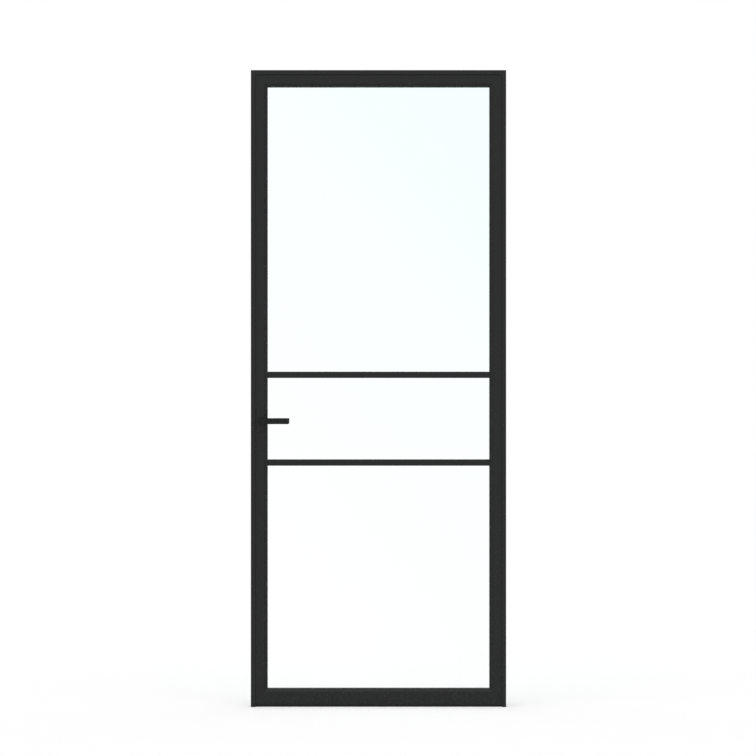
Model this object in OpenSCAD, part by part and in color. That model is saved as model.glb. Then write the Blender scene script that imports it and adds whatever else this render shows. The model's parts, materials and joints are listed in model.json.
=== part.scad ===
// A steel glass door: one glazed leaf with two applied bars, hung on three lift-off hinges in a
// three-sided steel frame, with a lever handle on each side and a magnetic latch.
// Millimetres. X runs across the door, +Y is the side that the leaf opens to, Z is up.
// The origin lies on the floor, midway between the jambs, in the middle plane of the leaf.

/* [Frame] */
// Overall width of the frame
frame_w = 930; // [760:1:1200]
// Overall height of the frame
frame_h = 2320; // [1960:1:2700]
// Thickness of the web that lines the wall opening
web_t = 8; // [7:0.5:12]
// Thickness of the stop flange in front of the leaf
stop_t = 3; // [3:0.5:8]
// How far the stop flange laps over the leaf
stop_lap = 5.5; // [5:0.5:8]
// Gap between the stop flange and the shut leaf, which the seal takes up
seal_gap = 3; // [2.5:0.25:6]
// Diameter of the wall fixing holes
fixing_d = 6.5; // [4.5:0.5:8]
// Diameter of the countersink at each fixing hole
fixing_head_d = 12.5; // [10:0.5:14]
// Distance from the floor and the head to the outer fixing holes of a jamb
fixing_inset = 210; // [100:5:300]
// Distance between the two inner fixing holes of a jamb
fixing_inner_pitch = 700; // [400:10:1000]
// Distance between the two fixing holes of the head
fixing_head_pitch = 500; // [300:10:600]

/* [Leaf] */
// Thickness of the leaf and of its tubes
leaf_t = 40; // [36:1:50]
// Gap between the leaf and the frame at the sides and the head
leaf_gap = 2.5; // [2:0.25:4]
// Gap under the leaf
floor_gap = 7; // [4:1:15]
// Face width of the stiles and the top rail
stile_w = 40; // [40:1:60]
// Face height of the bottom rail
bottom_rail_h = 50; // [40:1:150]
// Wall of the tubes
tube_wall = 2; // [1.5:0.1:2.5]
// Outer corner radius of the tubes
tube_corner_r = 2; // [1:0.25:3]

/* [Glazing] */
// Thickness of the glass pane
glass_t = 6; // [5:0.5:8]
// Gap between the edge of the pane and the tubes
glass_edge_gap = 3; // [2:0.5:4]
// Thickness of the glazing tape on each face of the pane
tape_t = 3; // [2:0.5:4]
// Sight width of the glazing beads
bead_w = 10; // [7:0.5:15]
// How far the face of a bead falls back from its tube to its sight edge
bead_splay = 5; // [2:0.5:5.5]
// How far the beads sit behind the face of the tubes
bead_set_back = 1; // [0.5:0.25:2]
// Largest distance between two screws of a rear bead
bead_screw_pitch = 300; // [200:10:400]

/* [Glazing bars] */
// Height of the bars
bar_h = 23; // [12:1:40]
// Thickness of each bar
bar_t = 8; // [5:0.5:9]
// Thickness of the mounting tape under each bar
bar_tape_t = 0.8; // [0.5:0.1:1.5]
// Height of the line midway between the two bars
bars_mid_z = 1050; // [800:5:1300]
// Distance between the middles of the two bars
bars_pitch = 320; // [150:5:600]

/* [Lever handles] */
// Height of the spindle above the floor
lever_z = 1041; // [900:1:1150]
// Distance from the edge of the leaf to the spindle
backset = 24; // [22:0.5:26]
// Length of the grip from the spindle to its tip
lever_reach = 103; // [90:1:140]
// Height of the grip
lever_h = 20; // [18:0.5:22]
// Thickness of the grip
lever_t = 9; // [6:0.5:14]
// Hand clearance between the leaf and the grip
lever_stand = 42; // [36:1:55]
// Diameter of the neck that carries the grip
neck_d = 16; // [14:0.5:17]
// Width of the rose
rose_w = 28; // [24:0.5:29]
// Height of the rose
rose_h = 76; // [56:1:90]
// Thickness of the rose
rose_t = 6; // [5:0.5:9]
// Side of the square spindle
spindle_w = 8; // [7:0.5:9]

/* [Latch] */
// Height of the latch bolt's middle above the spindle
bolt_rise = 34; // [33:0.5:40]
// Thickness of the latch bolt
bolt_w = 12; // [8:0.5:12]
// Height of the latch bolt
bolt_h = 24; // [16:0.5:24]
// Length of the body of the latch bolt
bolt_l = 14; // [12:0.5:15]
// Thickness of the lock case with its cover
case_t = 16; // [15.5:0.5:20]
// Sheet thickness of the lock case
case_wall = 1.5; // [1:0.1:1.8]
// Reach of the lock case above the spindle
case_above = 58; // [56:1:80]
// Reach of the lock case below the spindle
case_below = 26; // [20:1:60]
// Width of the forend and of the strike plate
forend_w = 20; // [18:0.5:24]
// Length of the strike plate
strike_l = 84; // [76:1:120]
// Thickness of the strike plate
strike_t = 1.5; // [1:0.25:2.5]
// Thickness of the magnet behind the strike plate
magnet_t = 2.5; // [1.5:0.25:3]

/* [Hinges] */
// Outer diameter of the hinge knuckles
hinge_d = 16; // [14:0.5:16]
// Length of each knuckle
knuckle_l = 50; // [35:1:80]
// Diameter of the hinge pins
pin_d = 8; // [6:0.5:9]
// Depth of the pin in each knuckle
pin_depth = 32; // [20:1:34]
// Thickness of the washer between the knuckles
washer_t = 1.5; // [1:0.25:3]
// Distance from the ends of the leaf to the middle of the end hinges
hinge_inset = 230; // [120:5:350]

/* [Hidden] */
$fn = 64;

// Overrun of every cut past the face that it leaves
cut = 2;
// Gap around pieces that are pushed or glued into place
fit = 0.2;
// Radial play of a screw in its hole and of a pin in the knuckle that holds it
screw_fit = 0.03;
// Radial play of a shaft or a pin that turns in its bore
running_fit = 0.08;
// Gap that keeps moving pieces off the pieces that they pass
clearance = 0.3;

// Frame and leaf outlines
half_w = frame_w / 2;
leaf_face = leaf_t / 2;
stop_w = web_t + leaf_gap + stop_lap;
stop_back = -(leaf_face + seal_gap);
frame_front = stop_back - stop_t;
leaf_x = half_w - web_t - leaf_gap;
leaf_z0 = floor_gap;
leaf_z1 = frame_h - web_t - leaf_gap;
open_x = leaf_x - stile_w;
open_z0 = leaf_z0 + bottom_rail_h;
open_z1 = leaf_z1 - stile_w;
open_mid_z = (open_z0 + open_z1) / 2;

// Wall fixings
jamb_mid_z = frame_h / 2;
jamb_fixing_z = [
    fixing_inset,
    jamb_mid_z - fixing_inner_pitch / 2,
    jamb_mid_z + fixing_inner_pitch / 2,
    frame_h - fixing_inset
];

// Seal: a flat foot with a round bulb, set on the stop flange
seal_w = stop_lap - clearance;
seal_foot_t = 1.2;
seal_t = seal_gap - clearance;
seal_bulb_d = seal_t - seal_foot_t / 2;
seal_in = stop_w - seal_w;

// Floor seal: a flat foot under the bottom rail, with a lip at its front that ends just above the floor
floor_seal_w = 12;
floor_seal_foot_t = 1.5;
floor_seal_lip_t = 3;
floor_seal_set_back = 4;
floor_seal_rise = 0.5;
floor_seal_half_l = leaf_x - tube_corner_r;

// Glazing
sight_x = open_x - bead_w;
sight_z0 = open_z0 + bead_w;
sight_z1 = open_z1 - bead_w;
glass_x = open_x - glass_edge_gap;
glass_z0 = open_z0 + glass_edge_gap;
glass_z1 = open_z1 - glass_edge_gap;
bead_back = glass_t / 2 + tape_t;
bead_face = leaf_face - bead_set_back;
tape_inset = 1;
block_l = 80;
block_share = 0.55;
bead_screw_d = 3;
bead_screw_head_d = 5.5;
bead_screw_l = bead_w + tube_wall + bead_screw_d;
bead_screw_end = 60;
bead_screw_y = (bead_back + bead_face - bead_splay) / 2;
bead_span_x = 2 * (open_x - bead_screw_end);
bead_span_z = open_z1 - open_z0 - 2 * bead_screw_end;
bead_count_x = ceil(bead_span_x / bead_screw_pitch);
bead_count_z = ceil(bead_span_z / bead_screw_pitch);

// Bars
bar_back = glass_t / 2 + bar_tape_t;
bar_half_l = sight_x - clearance;
bar_chamfer = 1;
bar_tape_margin = 2.5;
upper_bar_z = bars_mid_z + bars_pitch / 2;
lower_bar_z = bars_mid_z - bars_pitch / 2;

// Lever, rose and spindle
neck_start = leaf_face + clearance;
grip_back = leaf_face + lever_stand;
rose_wall = 1.2;
rose_corner_r = 3;
rose_base_w = rose_w - 2 * (rose_wall + fit);
rose_base_h = rose_h - 2 * (rose_wall + fit);
rose_base_r = rose_corner_r - rose_wall - fit;
rose_base_t = rose_t - rose_wall - fit;
rose_screw_d = 4;
rose_screw_head_d = 7;
rose_screw_l = 10;
rose_screw_inset = 9;
rose_screw_z = rose_h / 2 - rose_screw_inset;
spindle_hole_d = 18;
spindle_grip = 20;
spindle_half_l = neck_start + spindle_grip;
socket_end_gap = 1;
grub_d = 4;
grub_sink = 0.5;
grub_y = leaf_face + rose_t + grub_d;

// Lock case and latch, measured inwards from the edge of the leaf
forend_t = tube_wall;
forend_end = 22;
forend_corner_r = 3;
forend_z0 = -case_below - forend_end;
forend_z1 = case_above + forend_end;
forend_mid_z = (forend_z0 + forend_z1) / 2;
forend_l = forend_z1 - forend_z0;
forend_screw_d = 4;
forend_screw_head_d = 7;
forend_screw_l = 9;
forend_screw_inset = 7;
lug_w = 30;
lug_h = 20;
lug_t = 8;
lug_over = 6;
case_back_gap = 1.5;
case_back = stile_w - tube_wall - case_back_gap;
case_half_t = case_t / 2;
case_inner_t = case_half_t - case_wall;
bolt_play = 0.4;
bolt_chamfer = 3;
bolt_z = lever_z + bolt_rise;
tail_d = 5;
tail_l = 16;
collar_d = 9;
collar_t = 2;
bridge_gap = 1.5;
bridge_in = bolt_l + bridge_gap;
bridge_h = bolt_h / 2;
hook_t = 4;
hook_gap = 0.5;
hook_drop = 21.5;
tail_end = bolt_l + tail_l;
hub_r = 8.5;
journal_r = 7;
arm_w = 4;
arm_t = 4.5;
arm_reach = 17;
arm_tilt = 20;
return_wire_r = 0.7;
return_mean_r = hub_r + 2 * return_wire_r;
return_turns = 3;
return_l = case_inner_t - 2 * hook_gap;
latch_wire_r = 0.25;
latch_mean_r = tail_d / 2 + 2 * latch_wire_r;
latch_turns = 5;
coil_sides = 6;
coil_steps = 14;

// Strike in the jamb
strike_x = web_t - half_w;
strike_play = 1.5;
strike_corner_r = 3;
strike_screw_inset = 8;
strike_screw_z = strike_l / 2 - strike_screw_inset;
strike_screw_d = 4;
strike_screw_head_d = 7;
strike_screw_end_gap = 1;
strike_screw_l = web_t - strike_screw_end_gap;
pocket_w = bolt_w + 2 * strike_play;
pocket_h = bolt_h + 2 * strike_play;

// Hinge axis, midway in the gap beside the leaf and just behind its rear face
hinge_stand = 0.5;
hinge_x = leaf_x + leaf_gap / 2;
hinge_y = leaf_face + hinge_stand + hinge_d / 2;
nose_w = 4;
knuckle_chamfer = 1;
pin_end_gap = 1;
pin_chamfer = 0.8;
washer_rim = 0.6;
lower_hinge_z = leaf_z0 + hinge_inset;
middle_hinge_z = (leaf_z0 + leaf_z1) / 2;
upper_hinge_z = leaf_z1 - hinge_inset;

powder_black = [0.19, 0.19, 0.19];
lever_black = [0.15, 0.16, 0.16];
rubber_black = [0.10, 0.10, 0.10];
glass_tint = [0.90, 0.98, 0.97, 0.35];
plain_steel = [0.62, 0.63, 0.64];
bright_steel = [0.76, 0.77, 0.78];
brass_yellow = [0.78, 0.64, 0.33];
zinc_grey = [0.55, 0.56, 0.57];
block_grey = [0.35, 0.36, 0.38];

// Shared shapes

// A rectangle centred on the origin with round corners
module rounded_rect(w, h, r) {
    square([w - 2 * r, h], center = true);
    square([w, h - 2 * r], center = true);
    for (x = [r - w / 2, w / 2 - r])
        for (y = [r - h / 2, h / 2 - r])
            translate([x, y]) circle(r);
}

// An outline drawn in X and Z, carried through Y from y0 to y1
module through_y(y0, y1) {
    translate([0, y1, 0]) rotate([90, 0, 0]) linear_extrude(y1 - y0) children();
}

// An outline drawn in Y and Z, carried along X from x0 to x1
module along_x(x0, x1) {
    translate([x0, 0, 0]) rotate([90, 0, 90]) linear_extrude(x1 - x0) children();
}

// A round bar along +X, +Y or +Z that starts at the origin
module rod_x(d, l) { rotate([0, 90, 0]) cylinder(d = d, h = l); }
module rod_y(d, l) { rotate([-90, 0, 0]) cylinder(d = d, h = l); }

// Mitred plan, in X and Z, of an upright on the side that sign gives
function upright_plan(sign, half, width, z0, z1, below, above) = [
    [sign * half, z0],
    [sign * (half - width), z0 + below],
    [sign * (half - width), z1 - above],
    [sign * half, z1]
];

// Mitred plan, in X and Z, of a cross piece between two uprights
function cross_plan(half, width, z_out, z_in) = [
    [-half, z_out],
    [half, z_out],
    [half - width, z_in],
    [width - half, z_in]
];

// A countersunk screw along -X: its head is flush with x = 0, and play widens it into its hole
module screw_x(d, head_d, l, play) {
    r = d / 2 + play;
    head_r = head_d / 2 + play;
    rotate([0, -90, 0]) cylinder(r = r, h = l + play);
    rotate([0, -90, 0]) cylinder(r1 = head_r, r2 = r, h = head_r - r);
}

// A coil of round wire along +Z, from 0 to l
module coil(mean_r, wire_r, l, turns) {
    steps = turns * coil_steps;
    rise = l - 2 * wire_r;
    points = [
        for (i = [0:steps], k = [0:coil_sides - 1])
            let (
                a = 360 * i / coil_steps,
                b = 360 * k / coil_sides,
                r = mean_r + wire_r * cos(b)
            )
            [r * cos(a), r * sin(a), wire_r + rise * i / steps + wire_r * sin(b)]
    ];
    walls = [
        for (i = [0:steps - 1], k = [0:coil_sides - 1])
            let (
                next = (k + 1) % coil_sides,
                here = i * coil_sides,
                there = here + coil_sides
            )
            [here + k, here + next, there + next, there + k]
    ];
    first = [for (k = [0:coil_sides - 1]) coil_sides - 1 - k];
    last = [for (k = [0:coil_sides - 1]) steps * coil_sides + k];
    polyhedron(points, concat(walls, [first], [last]));
}

// Frame

// Angle section of the frame, with its outer corner on X = 0 and the opening towards +X
module frame_section() {
    polygon([
        [0, frame_front],
        [stop_w, frame_front],
        [stop_w, stop_back],
        [web_t, stop_back],
        [web_t, leaf_face],
        [0, leaf_face]
    ]);
}

// A countersunk fixing hole along X, with its countersink on the face at x = web_t
module fixing_hole() {
    translate([-cut, 0, 0]) rod_x(fixing_d, web_t + 2 * cut);
    translate([web_t, 0, 0]) screw_x(fixing_d, fixing_head_d, web_t, 0);
}

// An upright of the frame on the left, mitred at the head and drilled for its fixings
module jamb() {
    difference() {
        intersection() {
            translate([-half_w, 0, 0]) linear_extrude(frame_h) frame_section();
            through_y(frame_front - cut, leaf_face + cut)
                polygon(upright_plan(-1, half_w, stop_w, 0, frame_h, 0, stop_w));
        }
        for (z = jamb_fixing_z) translate([-half_w, 0, z]) fixing_hole();
    }
}

// Outline of the strike plate, grown by play
module strike_outline(play) {
    rounded_rect(forend_w + 2 * play, strike_l + 2 * play, strike_corner_r + play);
}

// The strike's screws, or their holes
module strike_screw_set(play) {
    for (z = [-strike_screw_z, strike_screw_z])
        translate([strike_x, 0, bolt_z + z])
            screw_x(strike_screw_d, strike_screw_head_d, strike_screw_l, play);
}

module strike_jamb() {
    color(powder_black) difference() {
        jamb();
        translate([0, 0, bolt_z]) along_x(strike_x - strike_t, strike_x + cut) strike_outline(fit);
        translate([0, 0, bolt_z]) along_x(-half_w - cut, strike_x + cut)
            square([pocket_w, pocket_h], center = true);
        strike_screw_set(screw_fit);
    }
}

module hinge_jamb() {
    color(powder_black) mirror([1, 0, 0]) jamb();
}

module frame_head() {
    color(powder_black) difference() {
        intersection() {
            translate([-half_w, 0, frame_h]) rotate([0, 90, 0]) linear_extrude(frame_w) frame_section();
            through_y(frame_front - cut, leaf_face + cut)
                polygon(cross_plan(half_w, stop_w, frame_h, frame_h - stop_w));
        }
        for (x = [-fixing_head_pitch / 2, fixing_head_pitch / 2])
            translate([x, 0, frame_h]) rotate([0, 90, 0]) fixing_hole();
    }
}

// Section of the seal, with its foot on the stop flange at y = stop_back
module seal_section() {
    translate([seal_in, stop_back]) square([seal_w, seal_foot_t]);
    translate([seal_in + seal_w / 2, stop_back + seal_t - seal_bulb_d / 2]) circle(d = seal_bulb_d);
}

module side_seal() {
    translate([-half_w, 0, 0]) linear_extrude(frame_h - stop_w) seal_section();
}

module strike_side_seal() {
    color(rubber_black) side_seal();
}

module hinge_side_seal() {
    color(rubber_black) mirror([1, 0, 0]) side_seal();
}

module head_seal() {
    half_l = half_w - seal_in;
    color(rubber_black) translate([0, 0, frame_h]) rotate([0, 90, 0])
        translate([0, 0, -half_l]) linear_extrude(2 * half_l) seal_section();
}

module strike_plate() {
    color(bright_steel) difference() {
        translate([0, 0, bolt_z]) along_x(strike_x - strike_t, strike_x) strike_outline(0);
        translate([0, 0, bolt_z]) along_x(strike_x - strike_t - cut, strike_x + cut)
            square([pocket_w, pocket_h], center = true);
        strike_screw_set(screw_fit);
    }
}

module strike_magnet() {
    color(plain_steel) translate([0, 0, bolt_z]) along_x(-half_w, magnet_t - half_w)
        square([pocket_w - 2 * fit, pocket_h - 2 * fit], center = true);
}

module strike_screws() {
    color(bright_steel) strike_screw_set(0);
}

// Hinges

// A turned knuckle along Z from 0 to knuckle_l on the hinge axis, with a nose on nose_x that is
// welded to its carrier, and a blind bore in its end at z = 0
module knuckle(nose_x, bore_r, bore_depth) {
    r = hinge_d / 2;
    difference() {
        union() {
            translate([hinge_x, hinge_y, 0]) rotate_extrude() polygon([
                [0, 0],
                [r - knuckle_chamfer, 0],
                [r, knuckle_chamfer],
                [r, knuckle_l - knuckle_chamfer],
                [r - knuckle_chamfer, knuckle_l],
                [0, knuckle_l]
            ]);
            translate([nose_x, leaf_face, 0]) cube([nose_w, hinge_y - leaf_face, knuckle_l]);
        }
        translate([hinge_x, hinge_y, -cut]) cylinder(r = bore_r, h = cut + bore_depth);
    }
}

// The upper knuckle, on the rear face of the hinge stile
module leaf_knuckle(z) {
    color(powder_black) translate([0, 0, z + washer_t / 2])
        knuckle(leaf_x - tube_corner_r - nose_w, pin_d / 2 + running_fit, pin_depth + pin_end_gap);
}

// The lower knuckle, on the rear edge of the hinge jamb
module frame_knuckle(z) {
    color(powder_black) translate([0, 0, z - washer_t / 2]) mirror([0, 0, 1])
        knuckle(half_w - web_t, pin_d / 2 + screw_fit, pin_depth);
}

module hinge_pin(z) {
    half_l = pin_depth + washer_t / 2;
    r = pin_d / 2;
    color(bright_steel) translate([hinge_x, hinge_y, z]) rotate_extrude() polygon([
        [0, -half_l],
        [r - pin_chamfer, -half_l],
        [r, pin_chamfer - half_l],
        [r, half_l - pin_chamfer],
        [r - pin_chamfer, half_l],
        [0, half_l]
    ]);
}

module lower_hinge_frame_knuckle() { frame_knuckle(lower_hinge_z); }
module middle_hinge_frame_knuckle() { frame_knuckle(middle_hinge_z); }
module upper_hinge_frame_knuckle() { frame_knuckle(upper_hinge_z); }
module lower_hinge_leaf_knuckle() { leaf_knuckle(lower_hinge_z); }
module middle_hinge_leaf_knuckle() { leaf_knuckle(middle_hinge_z); }
module upper_hinge_leaf_knuckle() { leaf_knuckle(upper_hinge_z); }
module lower_hinge_pin() { hinge_pin(lower_hinge_z); }
module middle_hinge_pin() { hinge_pin(middle_hinge_z); }
module upper_hinge_pin() { hinge_pin(upper_hinge_z); }

module hinge_washers() {
    color(brass_yellow) for (z = [lower_hinge_z, middle_hinge_z, upper_hinge_z])
        translate([hinge_x, hinge_y, z - washer_t / 2]) difference() {
            cylinder(d = hinge_d - 2 * washer_rim, h = washer_t);
            translate([0, 0, -cut]) cylinder(r = pin_d / 2 + running_fit, h = washer_t + 2 * cut);
        }
}

// Leaf

// Hollow section of a tube, w by h, centred on the origin
module tube_section(w, h) {
    difference() {
        rounded_rect(w, h, tube_corner_r);
        square([w - 2 * tube_wall, h - 2 * tube_wall], center = true);
    }
}

// An upright tube of the leaf on the side that sign gives, mitred at both ends
module stile(sign) {
    intersection() {
        translate([sign * (leaf_x - stile_w / 2), 0, 0]) linear_extrude(frame_h)
            tube_section(stile_w, leaf_t);
        through_y(-leaf_face - cut, leaf_face + cut)
            polygon(upright_plan(sign, leaf_x, stile_w, leaf_z0, leaf_z1, bottom_rail_h, stile_w));
    }
}

// A cross tube of the leaf between its outer edge and its inner edge, mitred at both ends
module rail(z_out, z_in) {
    intersection() {
        translate([0, 0, (z_out + z_in) / 2]) along_x(-leaf_x, leaf_x)
            tube_section(leaf_t, abs(z_out - z_in));
        through_y(-leaf_face - cut, leaf_face + cut) polygon(cross_plan(leaf_x, stile_w, z_out, z_in));
    }
}

module latch_stile() {
    color(powder_black) difference() {
        stile(-1);
        at_lock() translate([0, 0, forend_mid_z]) along_x(-cut, tube_wall + cut) forend_outline(fit);
        at_spindle() translate([0, -leaf_t, 0]) rod_y(spindle_hole_d, 2 * leaf_t);
        rose_screw_set(screw_fit);
        bead_screws_latch_side(screw_fit);
    }
}

module hinge_stile() {
    color(powder_black) difference() {
        stile(1);
        bead_screws_hinge_side(screw_fit);
    }
}

module top_rail() {
    color(powder_black) difference() {
        rail(leaf_z1, open_z1);
        bead_screws_top(screw_fit);
    }
}

module bottom_rail() {
    color(powder_black) difference() {
        rail(leaf_z0, open_z0);
        bead_screws_bottom(screw_fit);
    }
}

module floor_seal() {
    front = floor_seal_set_back - leaf_face;
    color(rubber_black) along_x(-floor_seal_half_l, floor_seal_half_l) polygon([
        [front, leaf_z0],
        [front, floor_seal_rise],
        [front + floor_seal_lip_t / 2, floor_seal_rise],
        [front + floor_seal_lip_t, leaf_z0 - floor_seal_foot_t],
        [front + floor_seal_w, leaf_z0 - floor_seal_foot_t],
        [front + floor_seal_w, leaf_z0]
    ]);
}

// Glazing

module glass_pane() {
    color(glass_tint) translate([-glass_x, -glass_t / 2, glass_z0])
        cube([2 * glass_x, glass_t, glass_z1 - glass_z0]);
}

// Four tape strips around one face of the pane, on the rear side
module glazing_tape() {
    tape_x = sight_x + tape_inset;
    tape_z0 = sight_z0 - tape_inset;
    tape_z1 = sight_z1 + tape_inset;
    translate([0, glass_t / 2, 0]) {
        for (x = [-glass_x, tape_x])
            translate([x, 0, glass_z0]) cube([glass_x - tape_x, tape_t, glass_z1 - glass_z0]);
        for (z = [[glass_z0, tape_z0], [tape_z1, glass_z1]])
            translate([-tape_x, 0, z[0]]) cube([2 * tape_x, tape_t, z[1] - z[0]]);
    }
}

module rear_glazing_tape() {
    color(rubber_black) glazing_tape();
}

module front_glazing_tape() {
    color(rubber_black) mirror([0, 1, 0]) glazing_tape();
}

// Setting blocks under the pane and location blocks at its sides and top
module glazing_blocks() {
    block_x = glass_x * block_share;
    block_z = (glass_z1 - glass_z0) / 2 * block_share;
    color(block_grey) {
        for (x = [-block_x, block_x], z = [open_z0, glass_z1])
            translate([x - block_l / 2, -glass_t / 2, z]) cube([block_l, glass_t, glass_edge_gap]);
        for (x = [-open_x, glass_x], z = [open_mid_z - block_z, open_mid_z + block_z])
            translate([x, -glass_t / 2, z - block_l / 2]) cube([glass_edge_gap, glass_t, block_l]);
    }
}

// A bead along Z, centred on the origin, with its tube on X = 0 and its sight edge towards +X
module bead_bar(l) {
    linear_extrude(l, center = true) polygon([
        [0, bead_back],
        [bead_w, bead_back],
        [bead_w, bead_face - bead_splay],
        [0, bead_face]
    ]);
}

// Frames that put X = 0 on the tube of each side, with +X towards the middle of the pane
module on_latch_side() { translate([-open_x, 0, open_mid_z]) children(); }
module on_hinge_side() { translate([open_x, 0, open_mid_z]) mirror([1, 0, 0]) children(); }
module on_bottom() { translate([0, 0, open_z0]) rotate([0, -90, 0]) children(); }
module on_top() { translate([0, 0, open_z1]) rotate([0, 90, 0]) children(); }

// The mitred shapes of the rear beads
module upright_bead(sign) {
    intersection() {
        children();
        through_y(0, leaf_t) polygon(upright_plan(sign, open_x, bead_w, open_z0, open_z1, bead_w, bead_w));
    }
}

module cross_bead(z_out, z_in) {
    intersection() {
        children();
        through_y(0, leaf_t) polygon(cross_plan(open_x, bead_w, z_out, z_in));
    }
}

module latch_side_bead() {
    upright_bead(-1) on_latch_side() bead_bar(open_z1 - open_z0);
}

module hinge_side_bead() {
    upright_bead(1) on_hinge_side() bead_bar(open_z1 - open_z0);
}

module top_bead() {
    cross_bead(open_z1, sight_z1) on_top() bead_bar(2 * open_x);
}

module bottom_bead() {
    cross_bead(open_z0, sight_z0) on_bottom() bead_bar(2 * open_x);
}

// A row of bead screws along Z over span, with one more screw than it has steps
module bead_screw_row(span, steps, play) {
    for (i = [0:steps])
        translate([bead_w, bead_screw_y, span * (i / steps - 1 / 2)])
            screw_x(bead_screw_d, bead_screw_head_d, bead_screw_l, play);
}

module bead_screws_latch_side(play) { on_latch_side() bead_screw_row(bead_span_z, bead_count_z, play); }
module bead_screws_hinge_side(play) { on_hinge_side() bead_screw_row(bead_span_z, bead_count_z, play); }
module bead_screws_bottom(play) { on_bottom() bead_screw_row(bead_span_x, bead_count_x, play); }
module bead_screws_top(play) { on_top() bead_screw_row(bead_span_x, bead_count_x, play); }

module front_bead_latch_side() { color(powder_black) mirror([0, 1, 0]) latch_side_bead(); }
module front_bead_hinge_side() { color(powder_black) mirror([0, 1, 0]) hinge_side_bead(); }
module front_bead_top() { color(powder_black) mirror([0, 1, 0]) top_bead(); }
module front_bead_bottom() { color(powder_black) mirror([0, 1, 0]) bottom_bead(); }

module rear_bead_latch_side() {
    color(powder_black) difference() {
        latch_side_bead();
        bead_screws_latch_side(screw_fit);
    }
}

module rear_bead_hinge_side() {
    color(powder_black) difference() {
        hinge_side_bead();
        bead_screws_hinge_side(screw_fit);
    }
}

module rear_bead_top() {
    color(powder_black) difference() {
        top_bead();
        bead_screws_top(screw_fit);
    }
}

module rear_bead_bottom() {
    color(powder_black) difference() {
        bottom_bead();
        bead_screws_bottom(screw_fit);
    }
}

module bead_screws() {
    color(powder_black) {
        bead_screws_latch_side(0);
        bead_screws_hinge_side(0);
        bead_screws_bottom(0);
        bead_screws_top(0);
    }
}

// Bars

// A bar on the rear face of the pane, with its outer edges chamfered
module bar(z) {
    top = bar_h / 2;
    face = bar_back + bar_t;
    translate([0, 0, z]) along_x(-bar_half_l, bar_half_l) polygon([
        [bar_back, -top],
        [face - bar_chamfer, -top],
        [face, bar_chamfer - top],
        [face, top - bar_chamfer],
        [face - bar_chamfer, top],
        [bar_back, top]
    ]);
}

module upper_bar_rear() { color(powder_black) bar(upper_bar_z); }
module lower_bar_rear() { color(powder_black) bar(lower_bar_z); }
module upper_bar_front() { color(powder_black) mirror([0, 1, 0]) bar(upper_bar_z); }
module lower_bar_front() { color(powder_black) mirror([0, 1, 0]) bar(lower_bar_z); }

module bar_tapes() {
    tape_h = bar_h - 2 * bar_tape_margin;
    color(rubber_black) for (z = [upper_bar_z, lower_bar_z], y = [-bar_back, glass_t / 2])
        translate([-bar_half_l, y, z - tape_h / 2]) cube([2 * bar_half_l, bar_tape_t, tape_h]);
}

// Lock

// A frame with X = 0 on the latch edge of the leaf, +X into the leaf and Z = 0 on the spindle
module at_lock() { translate([-leaf_x, 0, lever_z]) children(); }

module at_spindle() { at_lock() translate([backset, 0, 0]) children(); }

module forend_outline(play) {
    rounded_rect(forend_w + 2 * play, forend_l + 2 * play, forend_corner_r + play);
}

module forend_screw_set(play) {
    for (z = [forend_z0 + forend_screw_inset, forend_z1 - forend_screw_inset])
        at_lock() translate([0, 0, z]) mirror([1, 0, 0])
            screw_x(forend_screw_d, forend_screw_head_d, forend_screw_l, play);
}

// Section of the latch bolt's way, grown by play
module bolt_way(play) {
    translate([0, bolt_rise]) square([bolt_w + 2 * play, bolt_h + 2 * play], center = true);
}

// The folded tray of the lock, with a bridge that the tail of the bolt slides in
module lock_case() {
    color(plain_steel) at_lock() difference() {
        union() {
            difference() {
                translate([forend_t, -case_half_t, -case_below])
                    cube([case_back - forend_t, case_t - case_wall, case_above + case_below]);
                translate([forend_t + case_wall, -case_inner_t, case_wall - case_below])
                    cube([
                        case_back - forend_t - 2 * case_wall,
                        case_t,
                        case_above + case_below - 2 * case_wall
                    ]);
            }
            translate([bridge_in, -case_half_t, bolt_rise - bridge_h / 2])
                cube([case_wall, case_half_t + case_inner_t - fit, bridge_h]);
        }
        along_x(0, forend_t + case_wall + cut) bolt_way(bolt_play);
        translate([bridge_in - cut, 0, bolt_rise]) rod_x(tail_d + 2 * fit, case_wall + 2 * cut);
        translate([backset, -case_half_t - cut, 0])
            rod_y(2 * (journal_r + running_fit), case_wall + 2 * cut);
    }
}

module lock_cover() {
    color(plain_steel) at_lock() difference() {
        translate([forend_t, case_inner_t, -case_below])
            cube([case_back - forend_t, case_wall, case_above + case_below]);
        translate([backset, case_inner_t - cut, 0])
            rod_y(2 * (journal_r + running_fit), case_wall + 2 * cut);
    }
}

module forend() {
    color(bright_steel) difference() {
        at_lock() translate([0, 0, forend_mid_z]) along_x(0, forend_t) forend_outline(0);
        at_lock() along_x(-cut, forend_t + cut) bolt_way(bolt_play);
        forend_screw_set(screw_fit);
    }
}

module forend_screws() {
    color(bright_steel) forend_screw_set(0);
}

// Tapped blocks welded inside the stile, behind the ends of the forend
module lock_lugs() {
    color(plain_steel) difference() {
        for (z = [forend_z0 - lug_over, forend_z1 + lug_over - lug_h])
            at_lock() translate([tube_wall, -lug_w / 2, z]) cube([lug_t, lug_w, lug_h]);
        forend_screw_set(screw_fit);
    }
}

// The light spring that keeps the bolt in while the leaf is open
module latch_spring() {
    spring_in = bridge_in + case_wall;
    color(plain_steel) at_lock() translate([spring_in, 0, bolt_rise]) rotate([0, 90, 0])
        coil(latch_mean_r, latch_wire_r, tail_end - collar_t - spring_in, latch_turns);
}

// The spring that brings the levers back up
module return_spring() {
    color(plain_steel) at_spindle() translate([0, hook_gap, 0]) rotate([-90, 0, 0])
        coil(return_mean_r, return_wire_r, return_l, return_turns);
}

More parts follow.
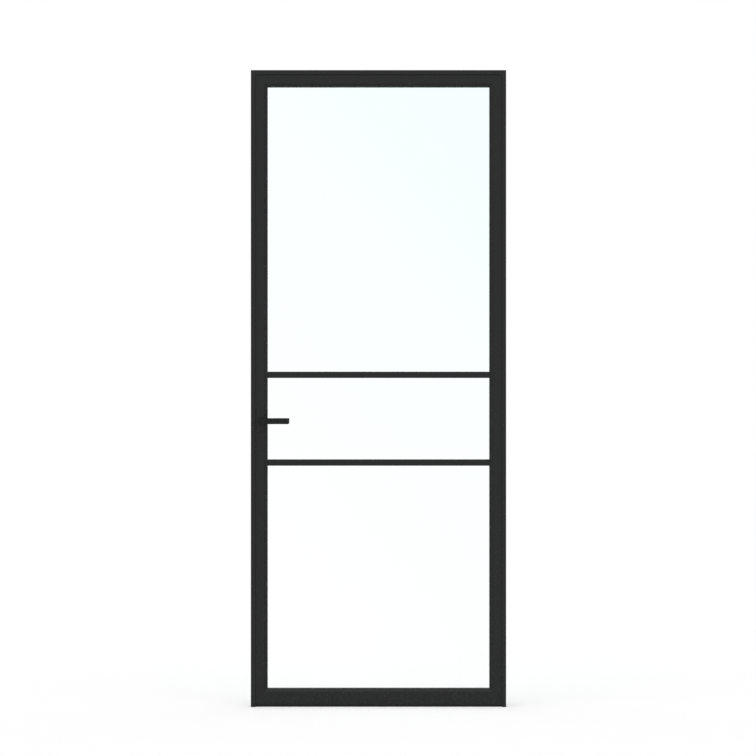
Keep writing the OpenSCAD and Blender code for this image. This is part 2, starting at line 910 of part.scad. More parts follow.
module latch_bolt() {
    half_t = bolt_w / 2;
    tail_in = tail_end - collar_t;
    color(bright_steel) at_lock() {
        translate([0, 0, bolt_rise - bolt_h / 2]) linear_extrude(bolt_h) polygon([
            [0, bolt_chamfer - half_t],
            [bolt_chamfer, -half_t],
            [bolt_l, -half_t],
            [bolt_l, half_t],
            [bolt_chamfer, half_t],
            [0, half_t - bolt_chamfer]
        ]);
        translate([bolt_l - cut, 0, bolt_rise]) rod_x(tail_d, tail_l + cut);
        translate([tail_in, 0, bolt_rise]) rod_x(collar_d, collar_t);
        translate([tail_in, hook_gap, bolt_rise - hook_drop]) cube([collar_t, hook_t, hook_drop]);
    }
}

// The turning piece of the lock, with journals in the case and the cover
module follower() {
    hub_half_l = case_inner_t - fit;
    socket = spindle_w + 2 * fit;
    color(zinc_grey) at_spindle() difference() {
        union() {
            translate([0, -hub_half_l, 0]) rod_y(2 * hub_r, 2 * hub_half_l);
            translate([0, -case_half_t, 0]) rod_y(2 * journal_r, case_t);
            rotate([0, -arm_tilt, 0]) translate([-arm_w / 2, -arm_t - hook_gap, 0])
                cube([arm_w, arm_t, arm_reach]);
        }
        cube([socket, case_t + 2 * cut, socket], center = true);
    }
}

// Levers and roses, drawn for the rear side and mirrored to the front

// The four screws of the rose bases, or their holes
module rose_screw_set(play) {
    for (side = [0, 1], z = [-rose_screw_z, rose_screw_z])
        mirror([0, side, 0]) at_spindle() translate([0, leaf_face + rose_base_t, z]) rotate([0, 0, 90])
            screw_x(rose_screw_d, rose_screw_head_d, rose_screw_l, play);
}

module rose_base() {
    difference() {
        at_spindle() through_y(leaf_face, leaf_face + rose_base_t)
            rounded_rect(rose_base_w, rose_base_h, rose_base_r);
        at_spindle() rod_y(neck_d + 2 * running_fit, leaf_t);
        rose_screw_set(screw_fit);
    }
}

module rose_cover() {
    cavity_w = rose_w - 2 * rose_wall;
    cavity_h = rose_h - 2 * rose_wall;
    at_spindle() difference() {
        through_y(leaf_face, leaf_face + rose_t) rounded_rect(rose_w, rose_h, rose_corner_r);
        through_y(leaf_face - cut, leaf_face + rose_t - rose_wall)
            rounded_rect(cavity_w, cavity_h, rose_corner_r - rose_wall);
        rod_y(neck_d + 2 * clearance, leaf_t);
    }
}

module lever() {
    socket = spindle_w + 2 * fit;
    at_spindle() difference() {
        union() {
            translate([0, neck_start, 0]) rod_y(neck_d, grip_back + lever_t / 2 - neck_start);
            through_y(grip_back, grip_back + lever_t) {
                circle(d = lever_h);
                translate([0, -lever_h / 2]) square([lever_reach, lever_h]);
            }
        }
        translate([-socket / 2, neck_start - cut, -socket / 2])
            cube([socket, cut + spindle_grip + socket_end_gap, socket]);
        translate([0, grub_y, -neck_d]) cylinder(r = grub_d / 2 + screw_fit, h = neck_d);
    }
}

module front_lever() { color(lever_black) mirror([0, 1, 0]) lever(); }
module rear_lever() { color(lever_black) lever(); }
module front_rose_base() { color(zinc_grey) mirror([0, 1, 0]) rose_base(); }
module rear_rose_base() { color(zinc_grey) rose_base(); }
module front_rose_cover() { color(lever_black) mirror([0, 1, 0]) rose_cover(); }
module rear_rose_cover() { color(lever_black) rose_cover(); }

module rose_screws() {
    color(plain_steel) rose_screw_set(0);
}

module spindle() {
    color(plain_steel) at_spindle()
        cube([spindle_w, 2 * spindle_half_l, spindle_w], center = true);
}

// Grub screws that hold the levers on the spindle, sunk in the underside of the necks
module lever_grub_screws() {
    grub_l = (neck_d - spindle_w) / 2 - fit - grub_sink;
    color(plain_steel) for (y = [-grub_y, grub_y])
        at_spindle() translate([0, y, grub_sink - neck_d / 2]) cylinder(d = grub_d, h = grub_l);
}

strike_jamb();
hinge_jamb();
frame_head();
strike_side_seal();
hinge_side_seal();
head_seal();
strike_plate();
strike_magnet();
strike_screws();
lower_hinge_frame_knuckle();
middle_hinge_frame_knuckle();
upper_hinge_frame_knuckle();
lower_hinge_pin();
middle_hinge_pin();
upper_hinge_pin();
hinge_washers();
latch_stile();
hinge_stile();
top_rail();
bottom_rail();
floor_seal();
glass_pane();
front_glazing_tape();
rear_glazing_tape();
glazing_blocks();
front_bead_latch_side();
front_bead_hinge_side();
front_bead_top();
front_bead_bottom();
rear_bead_latch_side();
rear_bead_hinge_side();
rear_bead_top();
rear_bead_bottom();
bead_screws();
upper_bar_front();
upper_bar_rear();
lower_bar_front();
lower_bar_rear();
bar_tapes();
lower_hinge_leaf_knuckle();
middle_hinge_leaf_knuckle();
upper_hinge_leaf_knuckle();
lock_case();
lock_cover();
forend();
forend_screws();
lock_lugs();
latch_spring();
return_spring();
front_rose_base();
front_rose_cover();
rear_rose_base();
rear_rose_cover();
rose_screws();
front_lever();
rear_lever();
spindle();
lever_grub_screws();
follower();
latch_bolt();
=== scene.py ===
import json
import math
from collections import namedtuple

import bmesh
import bpy
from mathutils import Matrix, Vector

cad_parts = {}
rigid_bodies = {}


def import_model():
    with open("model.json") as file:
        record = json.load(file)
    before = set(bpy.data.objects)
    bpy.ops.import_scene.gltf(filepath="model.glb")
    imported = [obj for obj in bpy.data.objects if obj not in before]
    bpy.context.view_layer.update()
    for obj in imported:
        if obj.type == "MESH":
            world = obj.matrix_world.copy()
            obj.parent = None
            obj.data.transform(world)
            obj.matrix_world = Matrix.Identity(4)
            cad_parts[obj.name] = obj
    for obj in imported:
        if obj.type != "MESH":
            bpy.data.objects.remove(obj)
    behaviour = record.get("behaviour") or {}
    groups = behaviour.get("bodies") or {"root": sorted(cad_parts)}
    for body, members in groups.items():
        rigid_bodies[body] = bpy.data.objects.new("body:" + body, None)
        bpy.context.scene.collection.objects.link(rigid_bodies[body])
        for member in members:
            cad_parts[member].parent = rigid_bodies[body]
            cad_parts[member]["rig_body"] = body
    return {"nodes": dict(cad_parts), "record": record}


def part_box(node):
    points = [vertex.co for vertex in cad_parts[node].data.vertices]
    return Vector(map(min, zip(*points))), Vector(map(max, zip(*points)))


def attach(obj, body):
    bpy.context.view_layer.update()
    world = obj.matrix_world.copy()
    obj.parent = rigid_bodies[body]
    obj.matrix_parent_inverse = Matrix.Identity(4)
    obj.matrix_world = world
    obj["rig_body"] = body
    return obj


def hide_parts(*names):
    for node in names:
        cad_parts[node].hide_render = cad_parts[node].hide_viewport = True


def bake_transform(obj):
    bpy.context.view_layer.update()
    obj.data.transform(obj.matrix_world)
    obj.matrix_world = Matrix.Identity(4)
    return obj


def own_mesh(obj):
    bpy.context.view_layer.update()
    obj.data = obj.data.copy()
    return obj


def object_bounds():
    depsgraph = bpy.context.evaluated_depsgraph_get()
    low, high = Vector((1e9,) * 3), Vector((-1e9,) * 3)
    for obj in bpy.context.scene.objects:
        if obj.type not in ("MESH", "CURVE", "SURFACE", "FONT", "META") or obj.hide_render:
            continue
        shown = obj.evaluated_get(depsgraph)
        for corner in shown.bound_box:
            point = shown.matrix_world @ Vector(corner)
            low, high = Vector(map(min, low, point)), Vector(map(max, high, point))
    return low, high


# Dresses a glass door: finishes, rounded edges, sockets, welds and springs, then floor, light and camera

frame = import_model()
cad_low, cad_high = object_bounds()
nodes = frame["nodes"]
slot_of = {part["node"]: part["material_slot"] for part in frame["record"]["subparts"]}

MM = 0.001
QUARTER_TURN = math.pi / 2
WHITE = (1, 1, 1, 1)

# Places taken from the frame
frame_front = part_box("strike_jamb")[0].y
glass_low, glass_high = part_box("glass_pane")
spindle_low, spindle_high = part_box("spindle")
spindle_axis = (spindle_low + spindle_high) / 2


# Shader nodes

# Most of a noise value lies between these two
NOISE_LOW = 0.3
NOISE_HIGH = 0.7

# A noise texture: the size of its grains, its finer layers, and how far it is drawn out along each axis
Grain = namedtuple("Grain", "size detail stretch", defaults=[(1, 1, 1)])


def start_material(name):
    """A new node material, with its node tree and its principled shader."""
    material = bpy.data.materials.new(name)
    material.use_nodes = True
    return material, material.node_tree, material.node_tree.nodes["Principled BSDF"]


def set_values(node, values):
    """Sets the input values of a shader or another node."""
    for key, value in values.items():
        node.inputs[key].default_value = value


def add_node(tree, kind, values=None, **settings):
    """Adds a node of that kind, sets its properties and its input values, and returns it."""
    made = tree.nodes.new(kind)
    for key, value in settings.items():
        setattr(made, key, value)
    set_values(made, values or {})
    return made


def show_either(tree, choice, first, second, output):
    """Shows the first shader where the choice is 0, and the second where it is 1."""
    either = add_node(tree, "ShaderNodeMixShader")
    tree.links.new(choice, either.inputs["Fac"])
    tree.links.new(first, either.inputs[1])
    tree.links.new(second, either.inputs[2])
    tree.links.new(either.outputs["Shader"], tree.nodes[output].inputs["Surface"])


def noise(tree, grain):
    """A noise value in the piece's own coordinates."""
    place = add_node(tree, "ShaderNodeTexCoord")
    scaled = add_node(tree, "ShaderNodeMapping", {"Scale": [1 / s for s in grain.stretch]})
    texture = add_node(tree, "ShaderNodeTexNoise", {"Scale": 1 / grain.size, "Detail": grain.detail})
    tree.links.new(place.outputs["Object"], scaled.inputs["Vector"])
    tree.links.new(scaled.outputs["Vector"], texture.inputs["Vector"])
    return texture.outputs["Fac"]


def spread(tree, value, low, high):
    """Maps the usual range of a noise value to low..high."""
    ends = {"From Min": NOISE_LOW, "From Max": NOISE_HIGH, "To Min": low, "To Max": high}
    mapped = add_node(tree, "ShaderNodeMapRange", ends)
    tree.links.new(value, mapped.inputs["Value"])
    return mapped.outputs["Result"]


def blend(tree, first, second, share):
    """A value made of two, with that share of the second."""
    mixed = add_node(tree, "ShaderNodeMix", {"Factor": share}, data_type="FLOAT")
    tree.links.new(first, mixed.inputs["A"])
    tree.links.new(second, mixed.inputs["B"])
    return mixed.outputs["Result"]


def mottle(tree, shader, colour, share, value):
    """Varies the base colour by that share either way."""
    mixed = add_node(tree, "ShaderNodeMix", data_type="RGBA")
    mixed.inputs["A"].default_value = [c * (1 - share) for c in colour] + [1]
    mixed.inputs["B"].default_value = [c * (1 + share) for c in colour] + [1]
    tree.links.new(spread(tree, value, 0, 1), mixed.inputs["Factor"])
    tree.links.new(mixed.outputs["Result"], shader.inputs["Base Color"])


def roughen(tree, shader, roughness, amount, value):
    """Varies the roughness by that amount either way."""
    varied = spread(tree, value, roughness - amount, roughness + amount)
    tree.links.new(varied, shader.inputs["Roughness"])


def emboss(tree, shader, *layers):
    """Bump from (height value, depth in metres) layers, laid over each other."""
    normal = None
    for value, depth in layers:
        bump = add_node(tree, "ShaderNodeBump", {"Distance": depth})
        tree.links.new(value, bump.inputs["Height"])
        if normal:
            tree.links.new(normal, bump.inputs["Normal"])
        normal = bump.outputs["Normal"]
    tree.links.new(normal, shader.inputs["Normal"])


# Coats, rubber, plastic and metals

# How far a finish varies in its colour, its roughness and its relief, each with the grain that it follows
Surface = namedtuple(
    "Surface",
    "colour_share colour_grain rough_amount rough_grain relief_depth relief_grain",
)

# Gloss of plain plastic and of metal
USUAL_GLOSS = 0.5

# Baked powder: sand over a softer ripple, with speckles and wide clouds in its colour
POWDER = Surface(
    colour_share=0.42,
    colour_grain=Grain(1.2 * MM, 2.0),
    rough_amount=0.08,
    rough_grain=Grain(9 * MM, 4.0),
    relief_depth=0.100 * MM,
    relief_grain=Grain(0.9 * MM, 2.0),
)
POWDER_CLOUDS = Grain(45 * MM, 5.0)
POWDER_SPECKLE_SHARE = 0.75
POWDER_RIPPLE = Grain(4.5 * MM, 1.0)
POWDER_RIPPLE_DEPTH = 0.060 * MM

# The smoother coat of the levers and roses
SMOOTH_COAT = Surface(
    colour_share=0.10,
    colour_grain=Grain(18 * MM, 3.0),
    rough_amount=0.06,
    rough_grain=Grain(5 * MM, 3.0),
    relief_depth=0.030 * MM,
    relief_grain=Grain(0.6 * MM, 2.0),
)

# Seals and tapes
RUBBER = Surface(
    colour_share=0.18,
    colour_grain=Grain(9 * MM, 4.0),
    rough_amount=0.09,
    rough_grain=Grain(4 * MM, 3.0),
    relief_depth=0.030 * MM,
    relief_grain=Grain(0.4 * MM, 3.0),
)

# Glazing blocks
MOULDED_PLASTIC = Surface(
    colour_share=0.06,
    colour_grain=Grain(20 * MM, 2.0),
    rough_amount=0.065,
    rough_grain=Grain(6 * MM, 2.0),
    relief_depth=0.020 * MM,
    relief_grain=Grain(0.5 * MM, 2.0),
)

# Plated or blackened metal with faint blotches
PLATED_METAL = Surface(
    colour_share=0.10,
    colour_grain=Grain(7 * MM, 4.0),
    rough_amount=0.07,
    rough_grain=Grain(2.5 * MM, 3.0),
    relief_depth=0.008 * MM,
    relief_grain=Grain(0.5 * MM, 2.0),
)

# Metal with fine brush lines along Z
BRUSH_LINES = Grain(0.35 * MM, 3.0, (1, 1, 60))
BRUSHED_METAL = Surface(
    colour_share=0.07,
    colour_grain=BRUSH_LINES,
    rough_amount=0.08,
    rough_grain=BRUSH_LINES,
    relief_depth=0.006 * MM,
    relief_grain=BRUSH_LINES,
)


def powder_coat(name, colour, roughness, gloss):
    """Baked powder on steel."""
    material, tree, shader = start_material(name)
    set_values(shader, {"Specular IOR Level": gloss})
    clouds = noise(tree, POWDER_CLOUDS)
    speckles = noise(tree, POWDER.colour_grain)
    shades = blend(tree, clouds, speckles, POWDER_SPECKLE_SHARE)
    mottle(tree, shader, colour, POWDER.colour_share, shades)
    roughen(tree, shader, roughness, POWDER.rough_amount, noise(tree, POWDER.rough_grain))
    emboss(
        tree,
        shader,
        (noise(tree, POWDER_RIPPLE), POWDER_RIPPLE_DEPTH),
        (noise(tree, POWDER.relief_grain), POWDER.relief_depth),
    )
    return material


def plain_finish(name, surface, colour, roughness, gloss=USUAL_GLOSS, metallic=0.0):
    """A finish that varies as its surface says."""
    material, tree, shader = start_material(name)
    set_values(shader, {"Specular IOR Level": gloss, "Metallic": metallic})
    mottle(tree, shader, colour, surface.colour_share, noise(tree, surface.colour_grain))
    roughen(tree, shader, roughness, surface.rough_amount, noise(tree, surface.rough_grain))
    emboss(tree, shader, (noise(tree, surface.relief_grain), surface.relief_depth))
    return material


def metal(name, surface, colour, roughness):
    """Bare or plated metal."""
    return plain_finish(name, surface, colour, roughness, metallic=1.0)


# Glass

GLASS_IOR = 1.5
GLASS_WAVES = Grain(260 * MM, 0.0)
GLASS_WAVE_DEPTH = 0.02 * MM

# How the painted reflection deepens the glass colour, from the lower latch corner of the pane, 0, to its
# upper hinge corner, 1
PAINTED_REFLECTION_ACROSS_SHARE = 0.3
PAINTED_REFLECTION_STEPS = ((0.15, 0.0), (0.40, 0.24), (0.65, 0.38), (1.0, 1.0))


def along_pane(tree, axes, axis, share):
    """A value that runs from 0 to share across the pane along an axis, "x" or "z"."""
    ends = {"From Min": getattr(glass_low, axis), "From Max": getattr(glass_high, axis)}
    mapped = add_node(tree, "ShaderNodeMapRange", {**ends, "To Min": 0.0, "To Max": share})
    tree.links.new(axes.outputs[axis.upper()], mapped.inputs["Value"])
    return mapped.outputs["Result"]


def painted_reflection_place(tree):
    """A value that runs from 0 at the pane's lower latch corner to 1 at its upper hinge corner, which
    places the painted reflection.
    """
    place = add_node(tree, "ShaderNodeTexCoord")
    axes = add_node(tree, "ShaderNodeSeparateXYZ")
    tree.links.new(place.outputs["Object"], axes.inputs["Vector"])
    summed = add_node(tree, "ShaderNodeMath", operation="ADD")
    tree.links.new(along_pane(tree, axes, "x", PAINTED_REFLECTION_ACROSS_SHARE), summed.inputs[0])
    tree.links.new(along_pane(tree, axes, "z", 1 - PAINTED_REFLECTION_ACROSS_SHARE), summed.inputs[1])
    return summed.outputs["Value"]


def paint_pane_reflection(tree, shader, tint_and_reflection):
    """Paints a reflection into the base colour: it deepens from white to the tinted colour in steps."""
    ramp = add_node(tree, "ShaderNodeValToRGB")
    stops = ramp.color_ramp.elements
    for start, amount in PAINTED_REFLECTION_STEPS[1:-1]:
        stops.new(start)
    for stop, (start, amount) in zip(stops, PAINTED_REFLECTION_STEPS):
        stop.position = start
        stop.color = [1 - amount * (1 - c) for c in tint_and_reflection] + [1]
    tree.links.new(painted_reflection_place(tree), ramp.inputs["Fac"])
    tree.links.new(ramp.outputs["Color"], shader.inputs["Base Color"])


def clear_glass(name, tint_and_reflection):
    """Clear float glass with slow waves and a painted reflection that deepens its colour towards one
    upper corner; it lets faintly tinted light pass to the floor.
    """
    material, tree, shader = start_material(name)
    set_values(shader, {"Transmission Weight": 1.0, "IOR": GLASS_IOR, "Roughness": 0.0})
    # Painted reflection: the pane's colour deepens towards its upper hinge corner
    paint_pane_reflection(tree, shader, tint_and_reflection)
    emboss(tree, shader, (noise(tree, GLASS_WAVES), GLASS_WAVE_DEPTH))
    passing = add_node(tree, "ShaderNodeBsdfTransparent", {"Color": [*tint_and_reflection, 1]})
    in_shadow = add_node(tree, "ShaderNodeLightPath").outputs["Is Shadow Ray"]
    show_either(tree, in_shadow, shader.outputs["BSDF"], passing.outputs["BSDF"], "Material Output")
    return material


# Finishes of the pieces, one for each material slot

COAT_BLACK = (0.0081, 0.0087, 0.0086)
BAR_BLACK = (0.0069, 0.0085, 0.0084)
BEAD_BLACK = (0.0117, 0.0123, 0.0122)
LEVER_BLACK = (0.0120, 0.0136, 0.0132)
RUBBER_BLACK = (0.0130, 0.0130, 0.0140)
SCREW_BLACK = (0.022, 0.022, 0.023)
BLOCK_GREY = (0.10, 0.11, 0.12)
STEEL_GREY = (0.55, 0.56, 0.57)
ZINC_GREY = (0.42, 0.43, 0.45)
NICKEL_GREY = (0.50, 0.51, 0.52)
BRASS_YELLOW = (0.66, 0.50, 0.22)
# The colour that tinges the light the glass passes, and the deepest colour of the painted reflection on
# the pane
GLASS_TINT_AND_REFLECTION = (0.90, 1.0, 0.997)

SATIN = {"roughness": 0.30, "gloss": 0.26}
DULL = {"roughness": 0.42, "gloss": 0.21}
MATT = {"roughness": 0.45, "gloss": 0.11}
SOFT = {"roughness": 0.77, "gloss": 0.30}

finishes = {
    "frame_coat": powder_coat("frame_coat", COAT_BLACK, **SATIN),
    "leaf_coat": powder_coat("leaf_coat", COAT_BLACK, **SATIN),
    "bead_coat": powder_coat("bead_coat", BEAD_BLACK, **DULL),
    "bar_coat": powder_coat("bar_coat", BAR_BLACK, **SATIN),
    "hinge_coat": powder_coat("hinge_coat", COAT_BLACK, **SATIN),
    "lever_coat": plain_finish("lever_coat", SMOOTH_COAT, LEVER_BLACK, **MATT),
    "rose_coat": plain_finish("rose_coat", SMOOTH_COAT, COAT_BLACK, **SATIN),
    "glass": clear_glass("glass", GLASS_TINT_AND_REFLECTION),
    "seal_rubber": plain_finish("seal_rubber", RUBBER, RUBBER_BLACK, **SOFT),
    "glazing_tape": plain_finish("glazing_tape", RUBBER, RUBBER_BLACK, **SOFT),
    "glazing_block": plain_finish("glazing_block", MOULDED_PLASTIC, BLOCK_GREY, roughness=0.485),
    "bright_steel": metal("bright_steel", BRUSHED_METAL, STEEL_GREY, roughness=0.31),
    "lock_steel": metal("lock_steel", PLATED_METAL, ZINC_GREY, roughness=0.39),
    "black_screw": metal("black_screw", PLATED_METAL, SCREW_BLACK, roughness=0.43),
    "magnet": metal("magnet", PLATED_METAL, NICKEL_GREY, roughness=0.21),
    "washer_brass": metal("washer_brass", PLATED_METAL, BRASS_YELLOW, roughness=0.29),
}

for solid, slot in slot_of.items():
    nodes[solid].material_slots[0].material = finishes[slot]


# Pieces made from the solids

# How the solids are cleaned, rounded and shaded
MERGE_DISTANCE = 0.002 * MM
PLANE_DISTANCE = 0.02 * MM
FLAT_ANGLE = math.radians(0.5)
HARD_ANGLE = math.radians(40)
SMOOTH_ANGLE = math.radians(32)
ROUNDING_SEGMENTS = 3
ROUND_PROFILE = 0.5


def solid_mesh(name):
    """The mesh of a CAD solid with its triangles joined into whole faces."""
    mesh = bmesh.new()
    mesh.from_mesh(nodes[name].data)
    bmesh.ops.remove_doubles(mesh, verts=mesh.verts, dist=MERGE_DISTANCE)
    bmesh.ops.dissolve_limit(mesh, angle_limit=FLAT_ANGLE, verts=mesh.verts, edges=mesh.edges)
    return mesh


def make_piece(mesh, name, slot):
    """A shaded object from mesh that takes its finish from slot."""
    for face in mesh.faces:
        face.smooth = True
    for edge in mesh.edges:
        edge.smooth = edge.is_manifold and edge.calc_face_angle() < SMOOTH_ANGLE
    data = bpy.data.meshes.new(name)
    mesh.to_mesh(data)
    mesh.free()
    piece = bpy.data.objects.new(name, data)
    bpy.context.scene.collection.objects.link(piece)
    data.materials.append(finishes[slot])
    weighted = piece.modifiers.new("flat faces", "WEIGHTED_NORMAL")
    weighted.keep_sharp = True
    return piece


def stand_for(mesh, solid):
    """A piece from mesh that takes the place of a CAD solid."""
    piece = make_piece(mesh, solid + "_finished", slot_of[solid])
    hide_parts(solid)
    return piece


def ride_like(piece, solid):
    """Lets a piece move with the body of a CAD solid."""
    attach(piece, nodes[solid]["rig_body"])


def round_edges(solid, radius, wanted):
    """A copy of a CAD solid whose hard edges that wanted picks are rounded."""
    mesh = solid_mesh(solid)
    hard = [
        edge
        for edge in mesh.edges
        if edge.is_manifold and edge.calc_face_angle() > HARD_ANGLE and wanted(edge)
    ]
    bmesh.ops.bevel(
        mesh,
        geom=hard,
        offset=radius,
        offset_type="OFFSET",
        segments=ROUNDING_SEGMENTS,
        profile=ROUND_PROFILE,
        affect="EDGES",
        clamp_overlap=False,
    )
    ride_like(stand_for(mesh, solid), solid)


def runs_along(axis, at_least):
    """Picks edges along an axis, "x" or "z", that are no shorter than at_least."""
    def wanted(edge):
        run = edge.verts[1].co - edge.verts[0].co
        return abs(getattr(run, axis)) >= max(at_least, run.length * math.cos(FLAT_ANGLE))
    return wanted


def lies_on(axis, place):
    """Picks edges in the plane across an axis at that place."""
    def wanted(edge):
        return all(abs(getattr(v.co, axis) - place) < PLANE_DISTANCE for v in edge.verts)
    return wanted


def clear_of_spindle(distance):
    """Picks edges that keep that distance from the spindle's axis."""
    def wanted(edge):
        offsets = [v.co - spindle_axis for v in edge.verts]
        return all(math.hypot(offset.x, offset.z) > distance for offset in offsets)
    return wanted


def both(first, second):
    """Picks edges that both tests want."""
    return lambda edge: first(edge) and second(edge)


# Frame, rounded along its lengths and flush at the welded corners
FRAME_ROUNDING = 0.7 * MM
FRAME_SHORTEST_EDGE = 100 * MM

for solid, axis in (("strike_jamb", "z"), ("hinge_jamb", "z"), ("frame_head", "x")):
    round_edges(solid, FRAME_ROUNDING, runs_along(axis, FRAME_SHORTEST_EDGE))

# Glazing beads, rounded along their lengths
BEAD_ROUNDING = 0.4 * MM
BEAD_SHORTEST_EDGE = 3 * MM

for face in ("front", "rear"):
    for side, axis in (("latch_side", "z"), ("hinge_side", "z"), ("top", "x"), ("bottom", "x")):
        round_edges(f"{face}_bead_{side}", BEAD_ROUNDING, runs_along(axis, BEAD_SHORTEST_EDGE))

# Levers, rounded all along the grip, and roses, rounded around their faces
LEVER_ROUNDING = 0.6 * MM
ROSE_ROUNDING = 0.8 * MM

# Edges that are nearer to the spindle than this share of the half height or width stay sharp
INNER_SHARE = 0.9

for face in ("front", "rear"):
    low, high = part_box(f"{face}_lever")
    grip_half_height = (high.z - low.z) / 2
    round_edges(f"{face}_lever", LEVER_ROUNDING, clear_of_spindle(grip_half_height * INNER_SHARE))
    low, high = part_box(f"{face}_rose_cover")
    outer_face = low.y if face == "front" else high.y
    rose_half_width = (high.x - low.x) / 2
    round_edges(
        f"{face}_rose_cover",
        ROSE_ROUNDING,
        both(lies_on("y", outer_face), clear_of_spindle(rose_half_width * INNER_SHARE)),
    )

# Lock plates
PLATE_ROUNDING = 0.25 * MM

round_edges("forend", PLATE_ROUNDING, lies_on("x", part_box("forend")[0].x))
round_edges("strike_plate", PLATE_ROUNDING, lies_on("x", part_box("strike_plate")[1].x))


# Screws with a hexagon socket in each head

# A socket reaches from its middle to its corners, and down, by shares of the diameter of its head
SOCKET_SIDES = 6
SOCKET_SHARE = 0.29
SOCKET_DEPTH_SHARE = 0.24

# A face with more sides than this is round, and a head is one of about the largest area
ROUND_FACE_SIDES = 12
HEAD_AREA_SHARE = 0.9

DOWN = Vector((0, 0, -1))


def screw_heads(mesh, facing):
    """The largest round end faces, of all or of those that face the given way."""
    ends = [face for face in mesh.faces if len(face.verts) > ROUND_FACE_SIDES]
    if facing:
        ends = [face for face in ends if face.normal.dot(facing) > 0]
    largest = max(face.calc_area() for face in ends)
    return [face for face in ends if face.calc_area() > largest * HEAD_AREA_SHARE]


def sink_socket(mesh, head):
    """Sinks a hexagon socket into the round face of a screw's head."""
    centre = head.calc_center_median()
    outward = head.normal.copy()
    rim = list(head.edges)
    diameter = 2 * math.sqrt(head.calc_area() / math.pi)
    side = outward.orthogonal().normalized() * diameter * SOCKET_SHARE
    other = outward.cross(side)
    turns = [math.tau * step / SOCKET_SIDES for step in range(SOCKET_SIDES)]
    corners = [centre + side * math.cos(turn) + other * math.sin(turn) for turn in turns]
    mesh.faces.remove(head)
    mouth = [mesh.verts.new(corner) for corner in corners]
    base = [mesh.verts.new(corner - outward * diameter * SOCKET_DEPTH_SHARE) for corner in corners]
    mouth_edges = [mesh.edges.new((mouth[k - 1], mouth[k])) for k in range(SOCKET_SIDES)]
    bmesh.ops.triangle_fill(mesh, use_beauty=True, edges=rim + mouth_edges, normal=outward)
    for k in range(SOCKET_SIDES):
        mesh.faces.new((mouth[k - 1], base[k - 1], base[k], mouth[k]))
    mesh.faces.new(base)


def socket_screws(solid, facing=None):
    """Copies of a node's screws with a socket in every head."""
    mesh = solid_mesh(solid)
    for head in screw_heads(mesh, facing):
        sink_socket(mesh, head)
    bmesh.ops.recalc_face_normals(mesh, faces=mesh.faces)
    ride_like(stand_for(mesh, solid), solid)


for solid in ("bead_screws", "forend_screws", "strike_screws"):
    socket_screws(solid)
socket_screws("lever_grub_screws", DOWN)


# Weld beads between the hinges and what carries them

WELD_RADIUS = 2.2 * MM
WELD_RIPPLE = 0.35 * MM
WELD_PITCH = 2.4 * MM
WELD_END = 2.0 * MM
WELD_RINGS_PER_RIPPLE = 6
WELD_SIDES = 6

# How steeply a weld rises from its ends to its full width
WELD_END_RISE = 4


def weld_bead(name, knuckle, away):
    """A rippled weld up one side of a knuckle, where it meets its carrier: away is -1 or 1 along X."""
    low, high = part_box(knuckle)
    seat = [v.co.x for v in nodes[knuckle].data.vertices if abs(v.co.y - low.y) < PLANE_DISTANCE]
    corner_x = max(seat) if away > 0 else min(seat)
    length = high.z - low.z - 2 * WELD_END
    rings = round(length / WELD_PITCH) * WELD_RINGS_PER_RIPPLE
    mesh = bmesh.new()
    loops = []
    for ring in range(rings + 1):
        up = ring / rings
        swell = abs(math.sin(math.pi * ring / WELD_RINGS_PER_RIPPLE))
        taper = min(1.0, WELD_END_RISE * math.sqrt(up * (1 - up)))
        radius = (WELD_RADIUS + WELD_RIPPLE * (swell - 1)) * taper + WELD_RIPPLE
        z = low.z + WELD_END + length * up
        loop = [mesh.verts.new((corner_x, low.y, z))]
        for step in range(WELD_SIDES + 1):
            turn = QUARTER_TURN * step / WELD_SIDES
            x = corner_x + away * radius * math.cos(turn)
            y = low.y + radius * math.sin(turn)
            loop.append(mesh.verts.new((x, y, z)))
        loops.append(loop)
    for below, above in zip(loops, loops[1:]):
        for k in range(len(below)):
            mesh.faces.new((below[k - 1], below[k], above[k], above[k - 1]))
    mesh.faces.new(loops[0])
    mesh.faces.new(loops[-1])
    bmesh.ops.recalc_face_normals(mesh, faces=mesh.faces)
    ride_like(make_piece(mesh, name, slot_of[knuckle]), knuckle)


for place in ("lower", "middle", "upper"):
    weld_bead(f"{place}_hinge_leaf_weld", f"{place}_hinge_leaf_knuckle", -1)
    weld_bead(f"{place}_hinge_frame_weld", f"{place}_hinge_frame_knuckle", 1)


# Springs of the lock

def latch_spring():
    """The spring around the bolt's tail, which shortens as the bolt comes out on the real lock; here it
    only rides with the body of its solid, in a mesh of its own.
    """
    spring = stand_for(solid_mesh("latch_spring"), "latch_spring")
    ride_like(spring, "latch_spring")
    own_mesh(spring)


def return_spring():
    """The spring around the follower, held at its rear end, which winds up as the levers turn on the real
    lock; here it stays where it stands and does not wind.
    """
    spring = stand_for(solid_mesh("return_spring"), "return_spring")
    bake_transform(spring)


latch_spring()
return_spring()


# Stage, light and camera

FLOOR_SIZE = 80.0
FLOOR_COLOUR = (0.80, 0.80, 0.80, 1.0)
FLOOR_ROUGHNESS = 0.9
FLOOR_GLOW = 0.26

# An even sky and a wide soft sun from above and in front
SKY_STRENGTH = 0.70
SUN_STRENGTH = 0.95
SUN_WIDTH = math.radians(70)
SUN_FROM = Vector((-0.12, -0.64, 0.77))

# Straight on, and far enough away for a nearly flat view
CAMERA_DISTANCE = 11.0
SENSOR_WIDTH = 36.0

# Where the door's top, foot and middle lie in the square image, in pixels
IMAGE_SIZE = 756
DOOR_TOP_ROW = 70.06
DOOR_FOOT_ROW = 707.08
DOOR_MIDDLE_COLUMN = 378.49


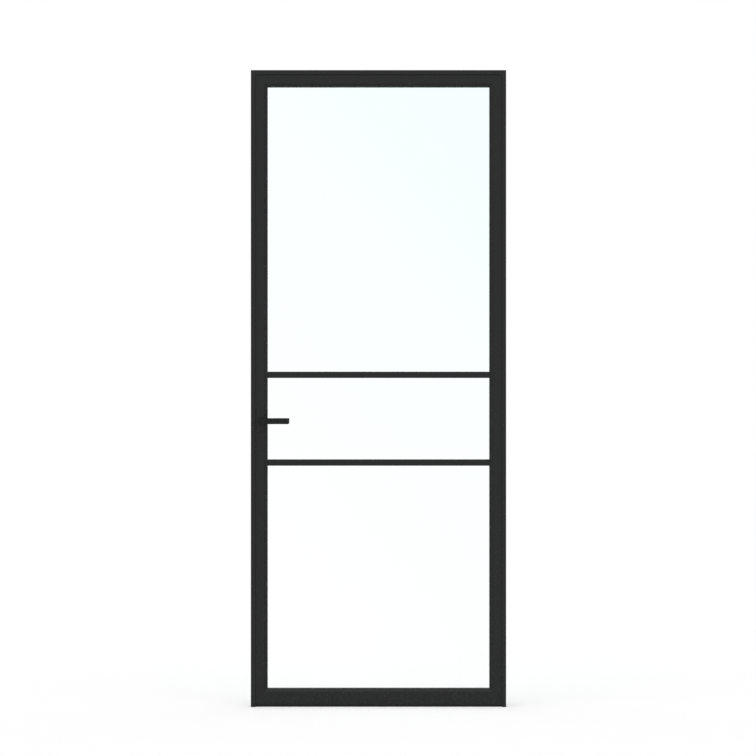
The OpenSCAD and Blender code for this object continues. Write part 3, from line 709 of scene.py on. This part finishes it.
def seen_directly(tree):
    """1 for what is seen, straight or in a reflection or through glass, and 0 for light on surfaces."""
    ray = add_node(tree, "ShaderNodeLightPath")
    seen = ray.outputs["Is Camera Ray"]
    for other in ("Is Glossy Ray", "Is Transmission Ray"):
        larger = add_node(tree, "ShaderNodeMath", operation="MAXIMUM")
        tree.links.new(seen, larger.inputs[0])
        tree.links.new(ray.outputs[other], larger.inputs[1])
        seen = larger.outputs["Value"]
    return seen


def make_floor():
    """A pale floor that reads as white where nothing shades it."""
    bpy.ops.mesh.primitive_plane_add(size=FLOOR_SIZE)
    floor = bpy.context.object
    floor.name = "floor"
    material, tree, shader = start_material("floor")
    values = {
        "Base Color": FLOOR_COLOUR,
        "Roughness": FLOOR_ROUGHNESS,
        "Specular IOR Level": 0.0,
        "Emission Color": WHITE,
    }
    set_values(shader, values)
    glow = add_node(tree, "ShaderNodeMath", {1: FLOOR_GLOW}, operation="MULTIPLY")
    tree.links.new(seen_directly(tree), glow.inputs[0])
    tree.links.new(glow.outputs["Value"], shader.inputs["Emission Strength"])
    floor.data.materials.append(material)


def make_sky():
    """White where it is seen, and a soft even light on the object."""
    world = bpy.data.worlds.new("sky")
    bpy.context.scene.world = world
    world.use_nodes = True
    tree = world.node_tree
    light = tree.nodes["Background"]
    set_values(light, {"Color": WHITE, "Strength": SKY_STRENGTH})
    backdrop = add_node(tree, "ShaderNodeBackground", {"Color": WHITE, "Strength": 1.0})
    show_either(
        tree,
        seen_directly(tree),
        light.outputs["Background"],
        backdrop.outputs["Background"],
        "World Output",
    )


def make_sun():
    """A wide soft sun."""
    data = bpy.data.lights.new("sun", "SUN")
    data.energy = SUN_STRENGTH
    data.angle = SUN_WIDTH
    lamp = bpy.data.objects.new("sun", data)
    lamp.rotation_euler = SUN_FROM.to_track_quat("Z", "Y").to_euler()
    bpy.context.scene.collection.objects.link(lamp)


def make_camera():
    """Looks level at the frame's front, with the door at its rows and its column of the image."""
    pixel = (cad_high.z - cad_low.z) / (DOOR_FOOT_ROW - DOOR_TOP_ROW)
    image_middle = IMAGE_SIZE / 2
    data = bpy.data.cameras.new("camera")
    data.sensor_width = SENSOR_WIDTH
    data.lens = SENSOR_WIDTH * CAMERA_DISTANCE / (IMAGE_SIZE * pixel)
    camera = bpy.data.objects.new("camera", data)
    camera.location = (
        (image_middle - DOOR_MIDDLE_COLUMN) * pixel,
        frame_front - CAMERA_DISTANCE,
        cad_low.z + (DOOR_FOOT_ROW - image_middle) * pixel,
    )
    camera.rotation_euler = (QUARTER_TURN, 0, 0)
    bpy.context.scene.collection.objects.link(camera)
    bpy.context.scene.camera = camera


make_floor()
make_sky()
make_sun()
make_camera()
bpy.context.scene.view_settings.view_transform = "Standard"
